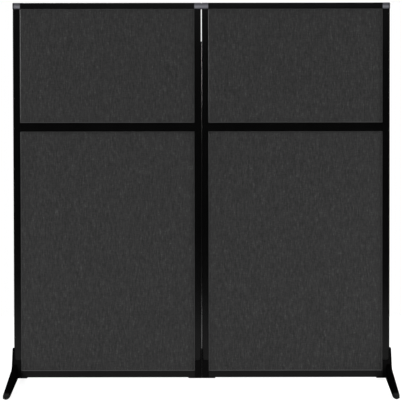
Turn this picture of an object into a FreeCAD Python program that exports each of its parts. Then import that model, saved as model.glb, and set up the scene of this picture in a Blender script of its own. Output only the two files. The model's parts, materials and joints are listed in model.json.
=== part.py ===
import FreeCAD, Part
import math
import os

# Free-standing two-panel folding office partition. Millimetres, +Z up, +X to the right, front face towards -Y.
# The origin lies on the floor, at the middle of the whole partition.

# Whole partition
overall_height = 1778.0
floor_clearance = 47.0
panel_width = 864.8
panel_gap = 4.4
corner_gap = 0.4

# Frame extrusions
outer_post_width = 33.0
inner_post_width = 30.0
top_rail_height = 28.0
mid_rail_height = 40.5
bottom_rail_height = 30.5
frame_depth = 32.0
upper_opening_height = 523.0
frame_wall = 2.0
lip_thickness = 3.0
lip_bevel = 0.8
groove_depth = 12.0
profile_radius = 3.0

# Infill boards, their fabric and their edge gaskets
board_thickness = 20.0
fabric_thickness = 0.8
gasket_web = 1.2
gasket_groove_gap = 0.3
gasket_side_gap = 0.1
gasket_show = 2.6
gasket_bevel = 1.2

# Moulded top caps
cap_outside = 0.8
cap_corner_radius = 4.0
cap_edge_bevel = 1.0
spigot_length = 45.0
spigot_gap = 0.15

# Connector blocks in the ends of the mid and bottom rails
connector_length = 40.0
connector_end_gap = 0.2

# Moulded bottom shoes
shoe_wall = 2.6
shoe_gap = 0.1
shoe_base_thickness = 3.0
shoe_base_length = 60.0
shoe_front_height = 84.0
shoe_above_blade = 4.0
shoe_ear_width = 4.8
shoe_ear_drop = 12.0
shoe_root_radius = 10.0
shoe_edge_radius = 4.0
shoe_tip_radius = 1.5

# Foot casting: a blade beside the post and two arms
foot_reach = 275.0
arm_width = 26.5
arm_outer_stand_off = 11.0
arm_top_at_blade = 92.5
arm_top_at_tip = 17.5
arm_underside_height = 42.0
arm_underside_flat = 8.0
arm_underside_at_tip = 4.5
arm_nose_length = 45.0
arm_nose_radius = 10.0
arch_radius = 50.0
arm_edge_bevel = 2.4
blade_height = 185.0
blade_half_width = 15.0
blade_root_half_width = 20.0
blade_top_radius = 9.0
blade_root_radius = 26.0
blade_inner_gap = 3.9
blade_top_thickness = 3.6
blade_lean_drop = 81.0
pad_lower_top = 108.0
pad_upper_height = 21.0
pocket_gap = 0.4

# Bolts through the foot and the shoe into a plate inside the outer post
bolt_diameter = 6.0
bolt_head_diameter = 10.0
bolt_head_height = 2.6
bolt_recess = 0.4
bolt_lower_height = 78.0
bolt_upper_drop = 10.0
nut_plate_thickness = 4.0
nut_plate_width = 12.0
nut_plate_end = 12.0

# Round glides under the ends of the arms
glide_diameter = 14.0
glide_inset = 15.0
glide_peg_width = 6.0
glide_peg_length = 7.0
glide_peg_gap = 0.1

# Long pin hinge, which leaves the gap between the panels open above it
hinge_below_rail = 150.0
pin_diameter = 3.0
pin_clearance = 0.05
pin_end = 0.8
knuckle_wall = 1.45
knuckle_count = 17
knuckle_end_gap = 0.4
bore_sides = 8
leaf_thickness = 1.5
leaf_width = 25.0
leaf_setback = 3.4
leaf_end_gap = 1.0
hinge_stand_off = 3.0

# How far a cutting solid runs past what it cuts, and how near an edge lies to the place it is picked by
overrun = 1.0
pick_distance = 0.5

# Places worked out from the sizes above
half_depth = frame_depth / 2
half_groove = half_depth - lip_thickness
half_chamber = half_depth - frame_wall
half_spigot = half_chamber - spigot_gap
inner_face = panel_gap / 2
outer_face = inner_face + panel_width
opening_inner = inner_face + inner_post_width
opening_outer = outer_face - outer_post_width
rail_bottom = floor_clearance + shoe_base_thickness
lower_opening_bottom = rail_bottom + bottom_rail_height
upper_opening_top = overall_height - top_rail_height
upper_opening_bottom = upper_opening_top - upper_opening_height
lower_opening_top = upper_opening_bottom - mid_rail_height
hinge_y = -half_depth - hinge_stand_off
knuckle_radius = pin_diameter / 2 + pin_clearance + knuckle_wall
shoe_top = blade_height + shoe_above_blade
hinge_bottom = shoe_top + leaf_end_gap + pin_end
hinge_top = upper_opening_top - hinge_below_rail - pin_end
arm_outer = outer_face + arm_outer_stand_off
arm_inner = arm_outer - arm_width
blade_inner = outer_face + blade_inner_gap
blade_top_skin = blade_inner + blade_top_thickness
blade_lean_start = blade_height - blade_lean_drop
pad_face = outer_face + shoe_wall + shoe_gap
pad_upper_bottom = blade_height - pad_upper_height
bolt_upper_height = blade_height - bolt_upper_drop

ORIGIN = FreeCAD.Vector(0, 0, 0)
X = FreeCAD.Vector(1, 0, 0)
Y = FreeCAD.Vector(0, 1, 0)
Z = FreeCAD.Vector(0, 0, 1)


def block(x_from, x_to, y_from, y_to, z_from, z_to):
    """Box between two corners."""
    corner = FreeCAD.Vector(x_from, y_from, z_from)
    return Part.makeBox(x_to - x_from, y_to - y_from, z_to - z_from, corner)


def bar(radius, start, direction, length):
    """Round bar from a point along a direction."""
    return Part.makeCylinder(radius, length, start, direction)


def joined(shapes):
    """One solid from shapes that touch or overlap."""
    return shapes[0].fuse(shapes[1:]).removeSplitter()


def outline(corners):
    """Closed wire on the XY plane through (x, y, radius) corners, each rounded by its own radius."""
    points = [FreeCAD.Vector(x, y, 0) for x, y, _ in corners]
    pieces = []
    for index, here in enumerate(points):
        radius = corners[index][2]
        if radius == 0:
            pieces.append((here, here, None))
            continue
        back = (points[index - 1] - here).normalize()
        on = (points[(index + 1) % len(points)] - here).normalize()
        half_angle = back.getAngle(on) / 2
        reach = radius / math.tan(half_angle)
        middle = (back + on).normalize() * (radius / math.sin(half_angle) - radius)
        pieces.append((here + back * reach, here + on * reach, here + middle))
    edges = []
    for index, (start, end, middle) in enumerate(pieces):
        if middle is not None:
            edges.append(Part.Arc(start, middle, end).toShape())
        edges.append(Part.makeLine(end, pieces[(index + 1) % len(pieces)][0]))
    return Part.Wire(edges)


def placed(shape, start, across, up):
    """Shape drawn on the XY plane, moved to start with its X along across and its Y along up."""
    moved = shape.copy()
    turn = FreeCAD.Rotation(across, up, across.cross(up), "XYZ")
    moved.Placement = FreeCAD.Placement(start, turn)
    return moved


def extruded(corners, start, across, up, length):
    """Solid from a rounded outline, drawn at start in the plane of across and up, along their normal."""
    face = Part.Face(outline(corners))
    return placed(face, start, across, up).extrude(across.cross(up) * length)


def channel(width, grooves, length, start, inward, along):
    """Frame extrusion: a closed chamber, with an infill groove on one edge or on both."""
    mouth = [
        (width - lip_bevel, -half_depth, 0),
        (width, lip_bevel - half_depth, 0),
        (width, -half_groove, 0),
        (width - groove_depth, -half_groove, 0),
        (width - groove_depth, half_groove, 0),
        (width, half_groove, 0),
        (width, half_depth - lip_bevel, 0),
        (width - lip_bevel, half_depth, 0),
    ]
    back = [(0, half_depth, profile_radius), (0, -half_depth, profile_radius)]
    chamber_start = frame_wall
    if grooves == 2:
        back = [(width - across, -depth, radius) for across, depth, radius in mouth]
        chamber_start = groove_depth + frame_wall
    chamber_end = width - groove_depth - frame_wall
    chamber = [
        (chamber_start, -half_chamber, 0),
        (chamber_end, -half_chamber, 0),
        (chamber_end, half_chamber, 0),
        (chamber_start, half_chamber, 0),
    ]
    across = along.cross(inward)
    solid = extruded(mouth + back, start, inward, across, length)
    return solid.cut(extruded(chamber, start, inward, across, length))


def post(face, inward, width):
    """Upright extrusion, from the shoe's base plate to the top cap."""
    start = FreeCAD.Vector(face, 0, rail_bottom)
    return channel(width, 1, upper_opening_top - rail_bottom, start, X * inward, Z)


def rail(width, grooves, level, inward):
    """Level extrusion between the posts, its closed edge at level."""
    start = FreeCAD.Vector(opening_inner, 0, level)
    return channel(width, grooves, opening_outer - opening_inner, start, inward, X)


def connectors(chamber_height, level):
    """Blocks that fill a rail's two ends and reach into the posts' grooves."""
    low = level - chamber_height / 2 + spigot_gap
    high = level + chamber_height / 2 - spigot_gap
    half_tongue = half_groove - spigot_gap
    blocks = []
    for edge, inward in ((opening_inner, 1), (opening_outer, -1)):
        far = edge + inward * connector_length
        near = edge - inward * (groove_depth - connector_end_gap)
        body = block(min(edge, far), max(edge, far), -half_spigot, half_spigot, low, high)
        tongue = block(min(edge, near), max(edge, near), -half_tongue, half_tongue, low, high)
        blocks.append(joined([body, tongue]))
    return Part.makeCompound(blocks)


def mid_rail_connectors():
    level = lower_opening_top + mid_rail_height / 2
    return connectors(mid_rail_height - (groove_depth + frame_wall) * 2, level)


def bottom_rail_connectors():
    level = rail_bottom + (bottom_rail_height - groove_depth) / 2
    return connectors(bottom_rail_height - groove_depth - frame_wall * 2, level)


def infill_edges(bottom, top, margin):
    """Edges of an infill piece that reaches past its opening by margin on all sides."""
    return opening_inner - margin, opening_outer + margin, bottom - margin, top + margin


def board_edges(bottom, top):
    return infill_edges(bottom, top, groove_depth - gasket_groove_gap - gasket_web)


def board(bottom, top):
    left, right, low, high = board_edges(bottom, top)
    return block(left, right, -board_thickness / 2, board_thickness / 2, low, high)


def fabric(bottom, top, outward):
    """Cloth over one face of a board; outward is -1 at the front and 1 at the rear."""
    left, right, low, high = board_edges(bottom, top)
    near = outward * board_thickness / 2
    far = near + outward * fabric_thickness
    return block(left, right, min(near, far), max(near, far), low, high)


def rectangle(edges, y):
    """Upright rectangular wire at depth y."""
    x_from, x_to, z_from, z_to = edges
    corners = [(x_from, z_from), (x_to, z_from), (x_to, z_to), (x_from, z_to), (x_from, z_from)]
    return Part.makePolygon([FreeCAD.Vector(x, y, z) for x, z in corners])


def gasket(bottom, top):
    """U-section strip round a covered board, with a bevelled lip that shows beside the cloth."""
    left, right, low, high = infill_edges(bottom, top, groove_depth - gasket_groove_gap)
    half = half_groove - gasket_side_gap
    ring = block(left, right, -half, half, low, high)
    shown = infill_edges(bottom, top, -gasket_show)
    flared = infill_edges(bottom, top, gasket_bevel - gasket_show)
    window = block(shown[0], shown[1], -half_depth, half_depth, shown[2], shown[3])
    for outward in (-1, 1):
        narrow = rectangle(shown, outward * (half - gasket_bevel))
        wide = rectangle(flared, outward * half)
        window = window.fuse(Part.makeLoft([narrow, wide], True, True))
    half_covered = board_thickness / 2 + fabric_thickness
    left, right, low, high = board_edges(bottom, top)
    return ring.cut(window.fuse(block(left, right, -half_covered, half_covered, low, high)))


def top_cap(face, inward, overhang, width):
    """Corner block over a post, with one spigot down the post and one along the top rail."""
    corners = [
        (-overhang, upper_opening_top, 0),
        (-overhang, overall_height, cap_corner_radius),
        (width, overall_height, 0),
        (width, upper_opening_top, 0),
    ]
    half = half_depth + cap_outside
    body = extruded(corners, FreeCAD.Vector(0, half, 0), X, Z, half * 2)
    body = body.makeChamfer(cap_edge_bevel, [edge for edge in body.Edges if cap_edge_shows(edge, width)])
    chamber_from = frame_wall + spigot_gap
    chamber_to = width - groove_depth - frame_wall - spigot_gap
    spigot_end = upper_opening_top - spigot_length
    down = block(chamber_from, chamber_to, -half_spigot, half_spigot, spigot_end, upper_opening_top)
    rail_low = upper_opening_top + groove_depth + frame_wall + spigot_gap
    rail_high = overall_height - frame_wall - spigot_gap
    level = block(width, width + spigot_length, -half_spigot, half_spigot, rail_low, rail_high)
    cap = joined([body.cut(cap_pocket(width)), down, level])
    if inward < 0:
        cap = cap.mirror(ORIGIN, X)
    return cap.translated(X * face)


def cap_edge_shows(edge, width):
    """Whether an edge of the corner block lies on its front or rear face, along its outer side or top."""
    middle = edge.CenterOfMass
    on_face = abs(middle.y) > half_depth + cap_outside - pick_distance
    return on_face and middle.z > upper_opening_top + pick_distance and middle.x < width - pick_distance


def cap_pocket(width):
    """Room in the corner block for the corner of the board and its gasket."""
    near = width - groove_depth
    high = upper_opening_top + groove_depth
    return block(near, width + overrun, -half_groove, half_groove, upper_opening_top - overrun, high)


def shoe(face, inward, overhang, width):
    """Corner fitting round a post's foot: front and rear walls, an ear up the outer edge and a base plate."""
    low = floor_clearance
    front_top = low + shoe_front_height
    corners = [
        (-overhang, low, 0),
        (-overhang, shoe_top, shoe_tip_radius),
        (shoe_ear_width, shoe_top - shoe_ear_drop, shoe_tip_radius),
        (shoe_ear_width, front_top, shoe_root_radius),
        (width, front_top, shoe_edge_radius),
        (width, rail_bottom, 0),
        (shoe_base_length, rail_bottom, 0),
        (shoe_base_length, low, 0),
    ]
    half = half_depth + shoe_wall
    body = extruded(corners, FreeCAD.Vector(0, half, 0), X, Z, half * 2)
    half_inside = half_depth + shoe_gap
    inside = block(0, shoe_base_length + overrun, -half_inside, half_inside, rail_bottom, shoe_top + overrun)
    body = body.cut(inside)
    if inward < 0:
        body = body.mirror(ORIGIN, X)
    return body.translated(X * face)


def arm_top(distance):
    """Height of an arm's straight top edge at a distance from the panel's middle plane."""
    share = (distance - blade_root_half_width) / (foot_reach - blade_root_half_width)
    return arm_top_at_blade + (arm_top_at_tip - arm_top_at_blade) * share


def blade_skin(height):
    """Outer face of the blade, which leans in above the arms."""
    share = max(0, (height - blade_lean_start) / blade_lean_drop)
    return arm_outer + (blade_top_skin - arm_outer) * share


def foot_bolts(head_height):
    """Two bolts whose heads sit under the blade's skin and whose ends fill the nut plate."""
    end = outer_face - frame_wall - nut_plate_thickness
    bolts = []
    for height in (bolt_lower_height, bolt_upper_height):
        seat = FreeCAD.Vector(blade_skin(height) - bolt_recess - bolt_head_height, 0, height)
        head = bar(bolt_head_diameter / 2, seat, X, head_height)
        shank = bar(bolt_diameter / 2, seat, -X, seat.x - end)
        bolts.append(joined([head, shank]))
    return bolts


def bolted(solid):
    """Solid with the bolts' holes, open above their heads."""
    return solid.cut(foot_bolts(bolt_head_height + bolt_recess + overrun))


def foot_side():
    """Side view of the foot as (y, z, radius) corners, front half then rear half."""
    front = [
        (blade_half_width, blade_height, blade_top_radius),
        (blade_root_half_width, arm_top(blade_root_half_width), blade_root_radius),
        (foot_reach, arm_top(foot_reach), 0),
        (foot_reach, arm_underside_at_tip, 0),
        (foot_reach - arm_nose_length, arm_underside_at_tip, 0),
        (arm_underside_flat, arm_underside_height, arch_radius),
    ]
    return front + [(-y, z, radius) for y, z, radius in reversed(front)]


def upper_edges(solid):
    """Long edges along the top of the arms and round the blade."""
    edges = []
    for edge in solid.Edges:
        ends = [vertex.Point for vertex in edge.Vertexes]
        middle = edge.valueAt((edge.FirstParameter + edge.LastParameter) / 2)
        lengthwise = max(point.x for point in ends) - min(point.x for point in ends) < pick_distance
        distance = abs(middle.y)
        above = middle.z > arm_top(max(distance, blade_root_half_width)) - pick_distance
        if lengthwise and above and distance < foot_reach - pick_distance:
            edges.append(edge)
    return edges


def foot():
    """One casting: two arms joined by a blade that stands beside the post."""
    body = extruded(foot_side(), FreeCAD.Vector(arm_inner, 0, 0), Y, Z, arm_width)
    body = body.makeChamfer(arm_edge_bevel, upper_edges(body)).common(foot_plan())
    half_pocket = half_depth + shoe_wall + pocket_gap
    top = blade_height + overrun
    past_arm = arm_inner - overrun
    panel_room = block(past_arm, pad_face, -half_pocket, half_pocket, floor_clearance, top)
    slot = block(pad_face - overrun, blade_inner, -half_pocket, half_pocket, pad_lower_top, pad_upper_bottom)
    past_skin = arm_outer + overrun
    lean_corners = [
        (arm_outer, blade_lean_start, 0),
        (blade_top_skin, blade_height, 0),
        (blade_top_skin, top, 0),
        (past_skin, top, 0),
        (past_skin, blade_lean_start, 0),
    ]
    lean = extruded(lean_corners, FreeCAD.Vector(0, foot_reach, 0), X, Z, foot_reach * 2)
    return bolted(body.cut([panel_room, slot, lean] + glides(glide_peg_gap)))


def foot_plan():
    """Room that the foot fills seen from above, with the ends of its arms rounded."""
    corners = [(x, y, arm_nose_radius) for x, y in (
        (arm_inner, -foot_reach),
        (arm_outer, -foot_reach),
        (arm_outer, foot_reach),
        (arm_inner, foot_reach),
    )]
    return extruded(corners, ORIGIN, X, Y, blade_height)


def glides(gap):
    """Round glides under the ends of the arms, each with a square peg up into the arm, larger by gap."""
    middle = (arm_inner + arm_outer) / 2
    half = glide_peg_width / 2 + gap
    peg_top = arm_underside_at_tip + glide_peg_length + gap
    shapes = []
    for side in (-1, 1):
        y = side * (foot_reach - glide_inset)
        disc = bar(glide_diameter / 2, FreeCAD.Vector(middle, y, 0), Z, arm_underside_at_tip)
        peg = block(middle - half, middle + half, y - half, y + half, 0, peg_top)
        shapes.append(joined([disc, peg]))
    return shapes


def nut_plate():
    """Threaded strip inside the outer post, behind the foot bolts."""
    right = outer_face - frame_wall
    low = bolt_lower_height - nut_plate_end
    high = bolt_upper_height + nut_plate_end
    return bolted(block(right - nut_plate_thickness, right, -nut_plate_width / 2, nut_plate_width / 2, low, high))


def knuckle_spans(first):
    """Bottom and top of every other knuckle, starting with the first or the second."""
    pitch = (hinge_top - hinge_bottom) / knuckle_count
    half_gap = knuckle_end_gap / 2
    lows = [hinge_bottom + pitch * index for index in range(first, knuckle_count, 2)]
    return [(low + half_gap, low + pitch - half_gap) for low in lows]


def pin_bore():
    """Bore with flat sides, each of which clears the pin."""
    radius = (pin_diameter / 2 + pin_clearance) / math.cos(math.pi / bore_sides)
    low = hinge_bottom - overrun
    turns = [2 * math.pi * index / bore_sides for index in range(bore_sides + 1)]
    corners = [FreeCAD.Vector(radius * math.cos(turn), hinge_y + radius * math.sin(turn), low) for turn in turns]
    return Part.Face(Part.makePolygon(corners)).extrude(Z * (hinge_top + overrun - low))


def hinge_leaf(first):
    """Right-hand hinge leaf: a plate on the post, with rolled knuckles round the pin."""
    near = inner_face - leaf_thickness
    pieces = [block(near, inner_face, hinge_y + leaf_setback, hinge_y + leaf_width, hinge_bottom, hinge_top)]
    for low, high in knuckle_spans(first):
        pieces.append(bar(knuckle_radius, FreeCAD.Vector(0, hinge_y, low), Z, high - low))
        pieces.append(block(near, inner_face, hinge_y, hinge_y + leaf_setback, low, high))
    return joined(pieces).cut(pin_bore())


def hinge_pin():
    """Pin through all the knuckles, standing out a little at both ends."""
    start = FreeCAD.Vector(0, hinge_y, hinge_bottom - pin_end)
    return bar(pin_diameter / 2, start, Z, hinge_top - hinge_bottom + pin_end * 2)


def panel_parts():
    """Pieces of the right-hand panel by name; the left-hand ones are their mirror images."""
    lower = (lower_opening_bottom, lower_opening_top)
    upper = (upper_opening_bottom, upper_opening_top)
    return {
        "outer_post": bolted(post(outer_face, -1, outer_post_width)),
        "inner_post": post(inner_face, 1, inner_post_width),
        "top_rail": rail(top_rail_height, 1, overall_height, -Z),
        "mid_rail": rail(mid_rail_height, 2, lower_opening_top, Z),
        "bottom_rail": rail(bottom_rail_height, 1, rail_bottom, Z),
        "mid_rail_connectors": mid_rail_connectors(),
        "bottom_rail_connectors": bottom_rail_connectors(),
        "outer_top_cap": top_cap(outer_face, -1, cap_outside, outer_post_width),
        "inner_top_cap": top_cap(inner_face, 1, inner_face - corner_gap / 2, inner_post_width),
        "outer_shoe": bolted(shoe(outer_face, -1, shoe_wall, outer_post_width)),
        "inner_shoe": shoe(inner_face, 1, inner_face - corner_gap / 2, inner_post_width),
        "upper_board": board(*upper),
        "lower_board": board(*lower),
        "upper_front_fabric": fabric(*upper, -1),
        "upper_rear_fabric": fabric(*upper, 1),
        "lower_front_fabric": fabric(*lower, -1),
        "lower_rear_fabric": fabric(*lower, 1),
        "upper_gasket": gasket(*upper),
        "lower_gasket": gasket(*lower),
        "foot": foot(),
        "foot_tips": Part.makeCompound(glides(0)),
        "foot_bolts": Part.makeCompound(foot_bolts(bolt_head_height)),
        "nut_plate": nut_plate(),
    }


def partition():
    """Every piece of the partition by node name."""
    parts = {}
    for name, shape in panel_parts().items():
        parts["right_" + name] = shape
        parts["left_" + name] = shape.mirror(ORIGIN, X)
    parts["right_hinge_leaf"] = hinge_leaf(1)
    parts["left_hinge_leaf"] = hinge_leaf(0).mirror(ORIGIN, X)
    parts["hinge_pin"] = hinge_pin()
    return parts


os.makedirs("parts", exist_ok=True)
for node, shape in partition().items():
    shape.exportStep("parts/" + node + ".step")
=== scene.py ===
import json
import math

import bmesh
import bpy
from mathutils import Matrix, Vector


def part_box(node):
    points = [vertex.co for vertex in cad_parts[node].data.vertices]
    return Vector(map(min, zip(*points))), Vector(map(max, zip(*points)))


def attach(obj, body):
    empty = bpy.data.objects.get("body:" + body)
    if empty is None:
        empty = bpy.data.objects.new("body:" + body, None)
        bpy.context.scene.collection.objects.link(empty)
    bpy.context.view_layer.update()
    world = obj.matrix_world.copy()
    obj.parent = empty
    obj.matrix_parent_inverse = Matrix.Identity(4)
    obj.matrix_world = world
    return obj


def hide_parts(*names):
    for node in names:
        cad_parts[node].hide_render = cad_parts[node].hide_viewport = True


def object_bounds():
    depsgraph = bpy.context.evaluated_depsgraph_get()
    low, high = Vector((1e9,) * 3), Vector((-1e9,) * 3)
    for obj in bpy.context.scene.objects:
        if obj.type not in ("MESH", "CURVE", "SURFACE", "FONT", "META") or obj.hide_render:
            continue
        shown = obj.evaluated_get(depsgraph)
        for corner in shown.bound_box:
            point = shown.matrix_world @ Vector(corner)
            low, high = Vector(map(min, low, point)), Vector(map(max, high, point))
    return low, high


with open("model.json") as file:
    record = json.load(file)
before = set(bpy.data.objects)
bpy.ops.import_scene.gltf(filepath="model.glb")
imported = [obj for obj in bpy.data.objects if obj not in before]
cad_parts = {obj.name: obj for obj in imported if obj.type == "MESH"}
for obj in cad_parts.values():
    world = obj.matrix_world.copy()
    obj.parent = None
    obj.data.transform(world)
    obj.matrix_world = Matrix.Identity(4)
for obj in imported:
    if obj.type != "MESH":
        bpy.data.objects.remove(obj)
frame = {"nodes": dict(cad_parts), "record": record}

# Free-standing folding office partition, dressed over the CAD frame. Metres, front face towards -Y.

nodes = frame["nodes"]
signs = {"left": -1, "right": 1}
cad_low, cad_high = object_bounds()

# The camera: in front of the screen, looking very slightly down, its picture shifted to the object
camera_distance = 5.822
camera_height = 1.1625
camera_right = 0.066
camera_pitch = math.radians(-1.1)
camera_roll = math.radians(0.08)
sensor_width = 0.036
millimetres = 1000
focal_length = 0.11262
shift_across = -0.0367
shift_down = -0.1010

# Light: soft lamps up on the right, beside the screen on the right, on the left, above the camera and behind
# the screen, as (place, width, height, power)
lamps = {
    "key": ((4.6, -5.0, 3.8), 2.2, 2.2, 53.0),
    "skim": ((4.2, -1.0, 2.0), 1.6, 1.1, 60.0),
    "fill": ((-3.4, -3.2, 3.1), 1.8, 1.8, 66.0),
    "front": ((0.1, -6.3, 2.9), 3.5, 0.8, 8.0),
    "back": ((-1.6, 5.2, 4.0), 2.0, 2.0, 90.0),
}

# Room: dim around, bright from a height above the horizon, given as the sine of the angle
room_light = 0.02
ceiling_light = 1.0
ceiling_starts = 0.25
ceiling_full = 0.9

# Floor: pale, and lifted to white where the camera sees it, with the shadow kept
floor_half_width = 2.3
floor_tone = 0.8
floor_seen_tone = 0.30
floor_seen_glow = 0.88

# Rounding of sharp edges
edge_round = 0.0006
edge_steps = 2
edge_angle = math.radians(40)

# Cloth: squares across a panel; upright slubs and level picks, as cycles in a metre along X, Y and Z and as
# (scale, detail, roughness) of their noise
cloth_columns = 60
slub_grain = (235.0, 235.0, 46.0)
slub_noise = (1.0, 2.0, 0.6)
pick_grain = (60.0, 60.0, 420.0)
pick_noise = (1.0, 1.0, 0.5)
pick_weight = 0.45
yarn_relief = 0.0006
yarn_relief_strength = 0.35
cloth_roughness = 0.92
cloth_specular = 0.12
cloth_sheen = 0.04
cloth_sheen_roughness = 0.6

# Paints and plastics: broad variation, as (scale, detail) of its noise and the levels with the two tones, and
# fine grain, as (detail, roughness) of its noise and its depth
broad_noise = (9.0, 3.0)
broad_levels = (0.3, 0.7)
fine_noise = (2.0, 0.6)
grain_depth = 0.0002

# Painted highlights on the noses of the feet's arms: over which length, and how many times lighter than the
# arms
toe_highlight_length = 0.030
toe_highlight_tone = (11.0, 11.0, 11.0, 1.0)

# Top caps: depth of the relief and darker rim along the outer edge
swell_height = 0.003
rim_width = 0.010
rim_tone = (0.35, 0.35, 0.35, 1.0)

# Heads of the small fasteners, as (radius, height, half width of the hexagonal socket), and their profile
rear_head = (0.0036, 0.0018, 0.0016)
leaf_head = (0.0032, 0.0003, 0.0015)
bolt_rim = (0.0044, 0.0003, 0.0026)
head_steps = 24
shoulder_share = 0.6
crown_share = 0.86
socket_floor_share = 0.25

# Places of the screws: from the edges of the posts and rails, and along the hinge's leaves
post_screw_inset = 0.0105
spigot_screw_drop = 0.022
rail_screw_inset = 0.020
rail_screw_drop = 0.008
bottom_screw_rise = 0.0095
leaf_plate = 0.0015
leaf_screw_depth = -0.004
leaf_screw_count = 9


def grey(level, blue=0.0):
    """Neutral colour, or one with a little more blue."""
    return (level, level, level + blue)


# Tones of the yarns, from the hollows between them to the lightest flecks
yarn_tones = [(0.42, grey(0.0278)), (0.72, grey(0.0455)), (0.86, grey(0.0555)), (1.0, grey(0.0860))]

# Over the caps' faces, from the lower edge to the top: level of the relief, and bands of painted highlight and
# shade in the tone
swell_profile = [(0.0, grey(0.4)), (0.16, grey(1.0)), (0.55, grey(0.15)), (0.85, grey(0.8))]
painted_highlight_bands = [
    (0.05, grey(0.48, 0.02)), (0.26, grey(1.0)), (0.45, grey(0.98)), (0.70, grey(0.50)), (0.95, grey(0.62)),
]

# Finishes by slot: darker and lighter tone, roughness, specular level, cycles in a metre and strength of the
# fine grain, and for some the swing of the roughness and how metallic they are
finishes = {
    "frame_black": ((grey(0.0012), grey(0.0022)), 0.24, 0.22, 900.0, 0.10),
    # cap_plastic: the caps are glossy black plastic; this light bluish grey is painted reflection of the lamps
    # on them
    "cap_plastic": ((grey(0.202, 0.026), grey(0.272, 0.034)), 0.3, 0.5, 700.0, 0.12),
    "shoe_plastic": ((grey(0.0010), grey(0.0016)), 0.32, 0.08, 800.0, 0.12),
    "foot_black": ((grey(0.0010), grey(0.0018)), 0.45, 0.0, 500.0, 0.25),
    "tip_rubber": ((grey(0.004), grey(0.006)), 0.7, 0.1, 900.0, 0.3),
    "gasket_rubber": ((grey(0.060), grey(0.074)), 0.33, 0.60, 900.0, 0.1),
    "hinge_black": ((grey(0.11), grey(0.13)), 0.17, 0.5, 900.0, 0.03, 0.03, 1.0),
    "screw_steel": ((grey(0.02), grey(0.035)), 0.35, 0.5, 1200.0, 0.1, 0.06, 0.6),
    "connector_metal": ((grey(0.5), grey(0.62)), 0.38, 0.5, 1500.0, 0.1, 0.06, 1.0),
    "board_core": (((0.30, 0.22, 0.15), (0.36, 0.27, 0.19)), 0.9, 0.2, 300.0, 0.4),
}


def feed(tree, value, socket):
    """Links a node's output to a socket, or sets the socket to a plain value."""
    if isinstance(value, bpy.types.NodeSocket):
        tree.links.new(value, socket)
    else:
        socket.default_value = value


def material(name, roughness, specular=0.5, metallic=0.0):
    """Node material with its shader's plain sockets set; returns the material, its tree and its shader."""
    made = bpy.data.materials.new(name)
    made.use_nodes = True
    tree = made.node_tree
    shader = tree.nodes["Principled BSDF"]
    shader.inputs["Roughness"].default_value = roughness
    shader.inputs["Specular IOR Level"].default_value = specular
    shader.inputs["Metallic"].default_value = metallic
    return made, tree, shader


def object_place(tree, stretch=(1.0, 1.0, 1.0)):
    """Object coordinates scaled by stretch along each axis."""
    place = tree.nodes.new("ShaderNodeTexCoord")
    scaled = tree.nodes.new("ShaderNodeMapping")
    scaled.inputs["Scale"].default_value = stretch
    tree.links.new(place.outputs["Object"], scaled.inputs["Vector"])
    return scaled.outputs["Vector"]


def coordinate(tree, axis):
    """One object coordinate."""
    axes = tree.nodes.new("ShaderNodeSeparateXYZ")
    tree.links.new(object_place(tree), axes.inputs["Vector"])
    return axes.outputs[axis]


def calculate(tree, operation, *values):
    """Result of a Math node on outputs or plain numbers."""
    made = tree.nodes.new("ShaderNodeMath")
    made.operation = operation
    for value, socket in zip(values, made.inputs):
        feed(tree, value, socket)
    return made.outputs[0]


def rise(tree, value, start, full):
    """0 up to start, and 1 from full on."""
    made = tree.nodes.new("ShaderNodeMapRange")
    made.inputs["From Min"].default_value = start
    made.inputs["From Max"].default_value = full
    tree.links.new(value, made.inputs["Value"])
    return made.outputs["Result"]


def noise(tree, vector, scale, detail, roughness=0.5):
    """Noise of 0 to 1 at a place."""
    made = tree.nodes.new("ShaderNodeTexNoise")
    made.inputs["Scale"].default_value = scale
    made.inputs["Detail"].default_value = detail
    made.inputs["Roughness"].default_value = roughness
    tree.links.new(vector, made.inputs["Vector"])
    return made.outputs["Fac"]


def ramp(tree, factor, stops):
    """Colour ramp through (position, colour) stops."""
    made = tree.nodes.new("ShaderNodeValToRGB")
    band = made.color_ramp
    while len(band.elements) < len(stops):
        band.elements.new(0.5)
    for element, (position, colour) in zip(band.elements, stops):
        element.position = position
        element.color = (*colour, 1.0)
    tree.links.new(factor, made.inputs["Fac"])
    return made.outputs["Color"]


def bump(tree, shader, height, strength, distance):
    """Relief on top of what the shader's normal already holds."""
    made = tree.nodes.new("ShaderNodeBump")
    made.inputs["Strength"].default_value = strength
    made.inputs["Distance"].default_value = distance
    tree.links.new(height, made.inputs["Height"])
    for link in shader.inputs["Normal"].links:
        tree.links.new(link.from_socket, made.inputs["Normal"])
    tree.links.new(made.outputs["Normal"], shader.inputs["Normal"])


def tint(made, factor, colour):
    """Multiplies the material's base colour by a colour, as strongly as factor says."""
    tree = made.node_tree
    base = tree.nodes["Principled BSDF"].inputs["Base Color"]
    mixed = tree.nodes.new("ShaderNodeMixRGB")
    mixed.blend_type = "MULTIPLY"
    feed(tree, factor, mixed.inputs["Fac"])
    tree.links.new(base.links[0].from_socket, mixed.inputs["Color1"])
    feed(tree, colour, mixed.inputs["Color2"])
    tree.links.new(mixed.outputs["Color"], base)


def finished(name, tones, roughness, specular, grain, grain_strength, roughness_swing=0.08, metallic=0.0):
    """Paint or moulded plastic: a tone that varies gently, and a fine grain in gloss and relief."""
    made, tree, shader = material(name, roughness, specular, metallic)
    place = object_place(tree)
    broad = noise(tree, place, *broad_noise)
    fine = noise(tree, place, grain, *fine_noise)
    tree.links.new(ramp(tree, broad, list(zip(broad_levels, tones))), shader.inputs["Base Color"])
    span = tree.nodes.new("ShaderNodeMapRange")
    span.inputs["To Min"].default_value = roughness - roughness_swing
    span.inputs["To Max"].default_value = roughness + roughness_swing
    tree.links.new(fine, span.inputs["Value"])
    tree.links.new(span.outputs["Result"], shader.inputs["Roughness"])
    bump(tree, shader, fine, grain_strength, grain_depth)
    return made


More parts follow.
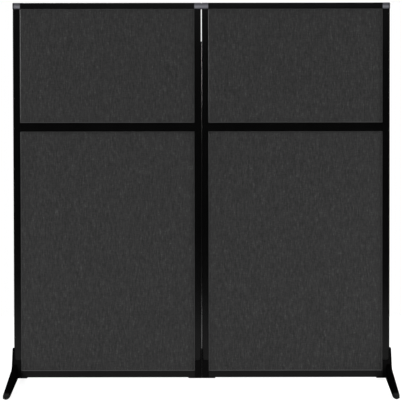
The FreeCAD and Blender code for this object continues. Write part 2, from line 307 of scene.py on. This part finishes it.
def cloth():
    """Charcoal panel fabric: a fine upright slub weave, lighter and darker yarns, soft and matte."""
    made, tree, shader = material("charcoal_fabric", cloth_roughness, cloth_specular)
    shader.inputs["Sheen Weight"].default_value = cloth_sheen
    shader.inputs["Sheen Roughness"].default_value = cloth_sheen_roughness
    slubs = noise(tree, object_place(tree, slub_grain), *slub_noise)
    picks = noise(tree, object_place(tree, pick_grain), *pick_noise)
    yarns = calculate(tree, "ADD", slubs, calculate(tree, "MULTIPLY", picks, pick_weight))
    tree.links.new(ramp(tree, yarns, yarn_tones), shader.inputs["Base Color"])
    bump(tree, shader, yarns, yarn_relief_strength, yarn_relief)
    return made


def relief_and_painted_bands(made, base, top, outer_edge):
    """Shallow moulded relief of the caps between two levels, as bump, with bands of painted highlight and
    shade in the tone and darker outer rims.
    """
    tree = made.node_tree
    level = rise(tree, coordinate(tree, "Z"), base, top)
    bump(tree, tree.nodes["Principled BSDF"], ramp(tree, level, swell_profile), 1.0, swell_height)
    # Painted highlight and shade: lighter and darker bands across the caps' height
    tint(made, 1.0, ramp(tree, level, painted_highlight_bands))
    distance = calculate(tree, "ABSOLUTE", coordinate(tree, "X"))
    tint(made, rise(tree, distance, outer_edge - rim_width, outer_edge - rim_width / 2), rim_tone)


def painted_toe_highlights(made, reach):
    """Painted highlights on the noses of the arms: small lighter patches at their ends."""
    tree = made.node_tree
    distance = calculate(tree, "ABSOLUTE", coordinate(tree, "Y"))
    # Painted highlight: the arms' ends made lighter
    tint(made, rise(tree, distance, reach - toe_highlight_length, reach - toe_highlight_length / 2), toe_highlight_tone)


def build_materials():
    """All materials by slot, with the caps' relief and painted highlight bands and the feet's painted toe
    highlights.
    """
    made = {name: finished(name, *finish) for name, finish in finishes.items()}
    made["charcoal_fabric"] = cloth()
    outer_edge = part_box("right_outer_top_cap")[1].x
    relief_and_painted_bands(made["cap_plastic"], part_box("left_top_rail")[0].z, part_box("left_outer_top_cap")[1].z, outer_edge)
    painted_toe_highlights(made["foot_black"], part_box("left_foot")[1].y)
    return made


def dress(materials):
    """Gives every CAD node the material of its slot, and softens the edges of the hard ones."""
    for part in frame["record"]["subparts"]:
        piece = nodes[part["node"]]
        slot = part["material_slot"]
        piece.data.materials.clear()
        piece.data.materials.append(materials[slot])
        if slot != "charcoal_fabric":
            soften(piece)


def soften(piece):
    """Small rounding on a piece's sharp edges."""
    rounding = piece.modifiers.new("edge_rounding", "BEVEL")
    rounding.width = edge_round
    rounding.segments = edge_steps
    rounding.limit_method = "ANGLE"
    rounding.angle_limit = edge_angle
    rounding.harden_normals = True


def placed(name, mesh, slot, materials, side):
    """Turns a built mesh into a piece with the slot's material, which rides on the panel of its side."""
    made = bpy.data.meshes.new(name)
    mesh.to_mesh(made)
    mesh.free()
    made.materials.append(materials[slot])
    piece = bpy.data.objects.new(name, made)
    bpy.context.scene.collection.objects.link(piece)
    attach(piece, side + "_panel")
    return piece


def squares(low, high, level, outward):
    """Mesh of even squares over a box's face at a level of Y, facing outward."""
    width = high.x - low.x
    height = high.z - low.z
    columns = cloth_columns
    rows = round(columns * height / width)
    mesh = bmesh.new()
    grid = []
    for row in range(rows + 1):
        z = low.z + height * row / rows
        line = [(low.x + width * column / columns, level, z) for column in range(columns + 1)]
        grid.append([mesh.verts.new(point) for point in line])
    for lower, upper in zip(grid, grid[1:]):
        for column in range(columns):
            corners = [lower[column], lower[column + 1], upper[column + 1], upper[column]]
            mesh.faces.new(corners if outward < 0 else corners[::-1])
    return mesh


def cover(side, opening, face, materials):
    """Cloth over the front or rear face of a board, in place of its CAD sheet and as thick."""
    name = f"{side}_{opening}_{face}_fabric"
    low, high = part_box(name)
    outward = -1 if face == "front" else 1
    level = high.y if outward > 0 else low.y
    piece = placed(name + "_cloth", squares(low, high, level, outward), "charcoal_fabric", materials, side)
    thick = piece.modifiers.new("thickness", "SOLIDIFY")
    thick.thickness = high.y - low.y
    thick.offset = -1
    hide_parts(name)


def circle(turn):
    """Reach of a circle, the same at every turn."""
    return 1.0


def hexagon(turn):
    """Reach of a hexagon's side at a turn, as a share of its corners' reach."""
    return math.cos(math.pi / 6) / math.cos(turn % (math.pi / 3) - math.pi / 6)


def fastener(mesh, place, outward, radius, height, socket):
    """Round head with a hexagonal socket, standing on a face at place and pointing outward."""
    across = outward.orthogonal().normalized()
    along = outward.cross(across)
    profile = (
        (radius, 0.0, circle),
        (radius, height * shoulder_share, circle),
        (radius * crown_share, height, circle),
        (socket, height, hexagon),
        (socket, height * socket_floor_share, hexagon),
    )
    rings = []
    for reach, level, shape in profile:
        ring = []
        for step in range(head_steps):
            turn = 2 * math.pi * step / head_steps
            side = (across * math.cos(turn) + along * math.sin(turn)) * (reach * shape(turn))
            ring.append(mesh.verts.new(place + side + outward * level))
        rings.append(ring)
    for lower, upper in zip(rings, rings[1:]):
        for step in range(head_steps):
            following = (step + 1) % head_steps
            mesh.faces.new([lower[step], lower[following], upper[following], upper[step]])
    mesh.faces.new(rings[-1])
    mesh.faces.new(rings[0][::-1])


def fasteners(name, side, head, places, outward, materials):
    """One piece with a head at each place, all of them pointing outward."""
    mesh = bmesh.new()
    for place in places:
        fastener(mesh, place, outward, *head)
    bmesh.ops.recalc_face_normals(mesh, faces=mesh.faces)
    placed(f"{side}_{name}", mesh, "screw_steel", materials, side)


def rear_screw_places(side):
    """On the frame's rear face, over the caps' spigots and the rails' connectors."""
    top_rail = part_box(side + "_top_rail")
    mid_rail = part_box(side + "_mid_rail")
    bottom_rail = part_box(side + "_bottom_rail")
    rear = mid_rail[1].y
    levels = (
        top_rail[1].z - rail_screw_drop,
        (mid_rail[0].z + mid_rail[1].z) / 2,
        bottom_rail[0].z + bottom_screw_rise,
    )
    places = []
    for post, away in (("outer_post", signs[side]), ("inner_post", -signs[side])):
        low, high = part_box(f"{side}_{post}")
        opening_edge, free_edge = (low.x, high.x) if away > 0 else (high.x, low.x)
        places.append(Vector((free_edge - away * post_screw_inset, rear, high.z - spigot_screw_drop)))
        places += [Vector((opening_edge - away * rail_screw_inset, rear, level)) for level in levels]
    return places


def leaf_screw_places(side):
    """Along a hinge leaf's face, between the panels."""
    low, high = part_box(side + "_hinge_leaf")
    post_low, post_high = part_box(side + "_inner_post")
    post_edge = post_low.x if side == "right" else post_high.x
    leaf_face = post_edge - signs[side] * leaf_plate
    spacing = (high.z - low.z) / leaf_screw_count
    levels = [low.z + spacing * (step + 0.5) for step in range(leaf_screw_count)]
    return [Vector((leaf_face, leaf_screw_depth, level)) for level in levels]


def bolt_places(side):
    """Middles of the outer faces of the two foot bolts."""
    piece = nodes[side + "_foot_bolts"]
    points = [piece.matrix_world @ corner.co for corner in piece.data.vertices]
    middle = (min(p.z for p in points) + max(p.z for p in points)) / 2
    places = []
    for bolt in ([p for p in points if p.z < middle], [p for p in points if p.z >= middle]):
        face = max(p.x * signs[side] for p in bolt)
        height = (min(p.z for p in bolt) + max(p.z for p in bolt)) / 2
        places.append(Vector((signs[side] * face, 0, height)))
    return places


def seen_directly(tree):
    """1 for rays from the camera, and 0 for light and reflections."""
    return tree.nodes.new("ShaderNodeLightPath").outputs["Is Camera Ray"]


def floor_material():
    """Pale for light and reflections; nearly white to the camera, with the object's shadow kept."""
    made = bpy.data.materials.new("floor_white")
    made.use_nodes = True
    tree = made.node_tree
    tree.nodes.clear()
    out = tree.nodes.new("ShaderNodeOutputMaterial")
    plain = tree.nodes.new("ShaderNodeBsdfDiffuse")
    plain.inputs["Color"].default_value = (*grey(floor_tone), 1.0)
    shaded = tree.nodes.new("ShaderNodeBsdfDiffuse")
    shaded.inputs["Color"].default_value = (*grey(floor_seen_tone), 1.0)
    glow = tree.nodes.new("ShaderNodeEmission")
    glow.inputs["Strength"].default_value = floor_seen_glow
    seen = tree.nodes.new("ShaderNodeAddShader")
    tree.links.new(shaded.outputs[0], seen.inputs[0])
    tree.links.new(glow.outputs[0], seen.inputs[1])
    choice = tree.nodes.new("ShaderNodeMixShader")
    tree.links.new(seen_directly(tree), choice.inputs["Fac"])
    tree.links.new(plain.outputs[0], choice.inputs[1])
    tree.links.new(seen.outputs[0], choice.inputs[2])
    tree.links.new(choice.outputs[0], out.inputs["Surface"])
    return made


def floor():
    """Square floor, which ends in the dim room."""
    mesh = bpy.data.meshes.new("floor")
    reach = floor_half_width
    corners = [(-reach, -reach, 0), (reach, -reach, 0), (reach, reach, 0), (-reach, reach, 0)]
    mesh.from_pydata(corners, [], [(0, 1, 2, 3)])
    mesh.materials.append(floor_material())
    piece = bpy.data.objects.new("floor", mesh)
    bpy.context.scene.collection.objects.link(piece)


def surroundings():
    """World: white where it is seen; for light and reflections a soft bank overhead and a dim room around."""
    world = bpy.data.worlds.new("studio")
    bpy.context.scene.world = world
    world.use_nodes = True
    tree = world.node_tree
    background = tree.nodes["Background"]
    background.inputs["Color"].default_value = (1, 1, 1, 1)
    direction = tree.nodes.new("ShaderNodeTexCoord")
    axes = tree.nodes.new("ShaderNodeSeparateXYZ")
    tree.links.new(direction.outputs["Generated"], axes.inputs["Vector"])
    ceiling = tree.nodes.new("ShaderNodeMapRange")
    ceiling.interpolation_type = "SMOOTHSTEP"
    ceiling.inputs["From Min"].default_value = ceiling_starts
    ceiling.inputs["From Max"].default_value = ceiling_full
    ceiling.inputs["To Min"].default_value = room_light
    ceiling.inputs["To Max"].default_value = ceiling_light
    tree.links.new(axes.outputs["Z"], ceiling.inputs["Value"])
    strength = tree.nodes.new("ShaderNodeMix")
    strength.inputs["B"].default_value = 1.0
    tree.links.new(seen_directly(tree), strength.inputs["Factor"])
    tree.links.new(ceiling.outputs["Result"], strength.inputs["A"])
    tree.links.new(strength.outputs["Result"], background.inputs["Strength"])


def lamp(name, place, width, height, power):
    """Soft lamp at a place, aimed at the middle of the object."""
    data = bpy.data.lights.new(name, "AREA")
    data.shape = "RECTANGLE"
    data.size = width
    data.size_y = height
    data.energy = power
    piece = bpy.data.objects.new(name, data)
    piece.location = place
    aim = (cad_low + cad_high) / 2 - piece.location
    piece.rotation_euler = aim.to_track_quat("-Z", "Y").to_euler()
    bpy.context.scene.collection.objects.link(piece)


def camera():
    """Camera where the photograph was taken from."""
    data = bpy.data.cameras.new("camera")
    data.sensor_width = sensor_width * millimetres
    data.lens = focal_length * millimetres
    data.shift_x = shift_across
    data.shift_y = shift_down
    piece = bpy.data.objects.new("camera", data)
    piece.location = (camera_right, -camera_distance, camera_height)
    piece.rotation_euler = (math.radians(90) + camera_pitch, camera_roll, 0)
    bpy.context.scene.collection.objects.link(piece)
    bpy.context.scene.camera = piece


camera()
materials = build_materials()
dress(materials)
for side in signs:
    for opening in ("upper", "lower"):
        for face in ("front", "rear"):
            cover(side, opening, face, materials)
for side, sign in signs.items():
    fasteners("rear_screws", side, rear_head, rear_screw_places(side), Vector((0, 1, 0)), materials)
    fasteners("leaf_screws", side, leaf_head, leaf_screw_places(side), Vector((-sign, 0, 0)), materials)
    fasteners("bolt_sockets", side, bolt_rim, bolt_places(side), Vector((sign, 0, 0)), materials)
floor()
surroundings()
for name, (place, width, height, power) in lamps.items():
    lamp(name, Vector(place), width, height, power)
bpy.context.scene.view_settings.view_transform = "Standard"
